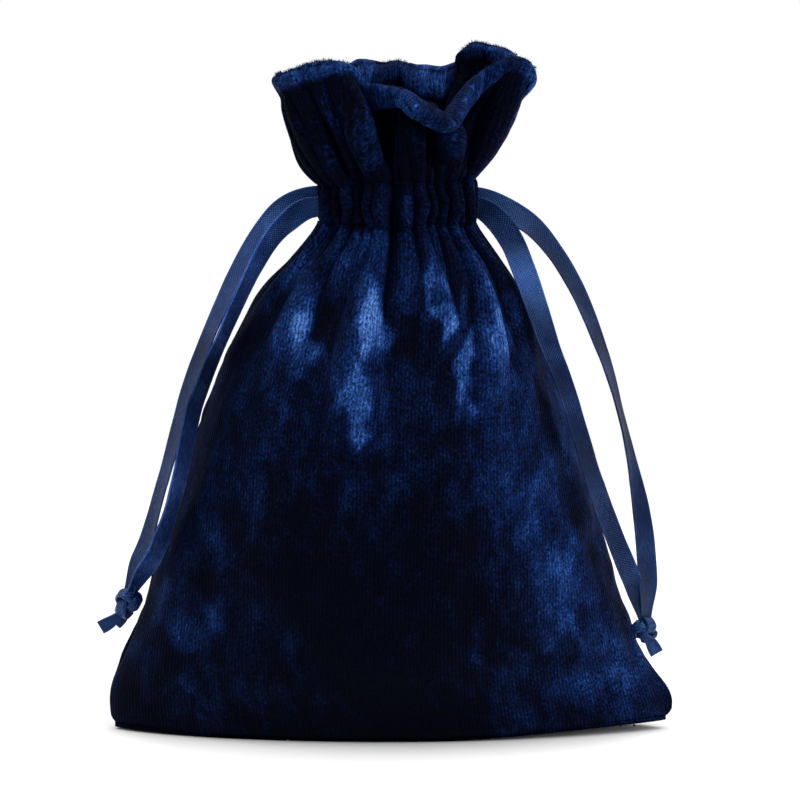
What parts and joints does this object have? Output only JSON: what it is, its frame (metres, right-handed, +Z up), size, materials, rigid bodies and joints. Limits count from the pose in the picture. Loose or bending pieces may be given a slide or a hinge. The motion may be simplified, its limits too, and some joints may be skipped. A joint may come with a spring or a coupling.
{
  "type": "drawstring gift pouch",
  "caption": "Standing velvet pouch with a ruffled neck, cinched by satin ribbons that leave at both sides and end in knots.",
  "frame": {"origin": "centre of the underside, on the surface that the pouch stands on", "axes": "+Z up through the neck, +X to the right seen from the front, +Y towards the back"},
  "size_m": [0.14, 0.0734, 0.161],
  "materials": {
    "velvet": "crushed pile velvet",
    "satin_ribbon": "satin weave",
    "thread": "matt sewing thread"
  },
  "bodies": {
    "bag": {"front_panel": "velvet", "back_panel": "velvet", "left_side_seam": "thread", "right_side_seam": "thread", "bottom_seam": "thread", "left_seam_allowance": "velvet", "right_seam_allowance": "velvet", "bottom_seam_allowance": "velvet"},
    "front_neck": {"front_channel": "velvet", "front_lining": "velvet", "front_upper_stitching": "thread", "front_lower_stitching": "thread", "left_front_run": "satin_ribbon", "right_front_run": "satin_ribbon"},
    "front_flap": {"front_ruffle": "velvet", "front_facing": "velvet"},
    "back_neck": {"back_channel": "velvet", "back_lining": "velvet", "back_upper_stitching": "thread", "back_lower_stitching": "thread", "left_back_run": "satin_ribbon", "right_back_run": "satin_ribbon"},
    "back_flap": {"back_ruffle": "velvet", "back_facing": "velvet"},
    "left_ribbon": {"left_bends": "satin_ribbon"},
    "left_loop": {"left_front_strand": "satin_ribbon", "left_back_strand": "satin_ribbon", "left_knot": "satin_ribbon", "left_tails": "satin_ribbon"},
    "right_ribbon": {"right_bends": "satin_ribbon"},
    "right_loop": {"right_front_strand": "satin_ribbon", "right_back_strand": "satin_ribbon", "right_knot": "satin_ribbon", "right_tails": "satin_ribbon"}
  },
  "joints": [
    {"name": "left_pull", "type": "slide", "parent": "bag", "child": "left_ribbon", "axis": [-1, 0, 0], "range_m": [0, 0.01]},
    {"name": "right_pull", "type": "slide", "parent": "bag", "child": "right_ribbon", "axis": [1, 0, 0], "range_m": [0, 0.01]},
    {"name": "front_cinch", "type": "slide", "parent": "bag", "child": "front_neck", "axis": [0, 1, 0], "range_m": [0, 0.002]},
    {"name": "back_cinch", "type": "slide", "parent": "bag", "child": "back_neck", "axis": [0, -1, 0], "range_m": [0, 0.002]},
    {"name": "front_flap_lean", "type": "hinge", "parent": "front_neck", "child": "front_flap", "pos_m": [0, -0.0125, 0.1325], "axis": [1, 0, 0], "range_deg": [-4, 25]},
    {"name": "back_flap_lean", "type": "hinge", "parent": "back_neck", "child": "back_flap", "pos_m": [0, 0.0125, 0.1325], "axis": [-1, 0, 0], "range_deg": [-4, 25]},
    {"name": "left_loop_swing", "type": "hinge", "parent": "left_ribbon", "child": "left_loop", "pos_m": [-0.0205, 0, 0.127], "axis": [0, 1, 0], "range_deg": [0, 90]},
    {"name": "right_loop_swing", "type": "hinge", "parent": "right_ribbon", "child": "right_loop", "pos_m": [0.0205, 0, 0.127], "axis": [0, -1, 0], "range_deg": [0, 90]}
  ],
  "couplings": [
    {"joint": "right_pull", "follows": "left_pull", "ratio": 1},
    {"joint": "front_cinch", "follows": "left_pull", "ratio": 0.2},
    {"joint": "back_cinch", "follows": "left_pull", "ratio": 0.2},
    {"joint": "back_flap_lean", "follows": "front_flap_lean", "ratio": 1}
  ]
}
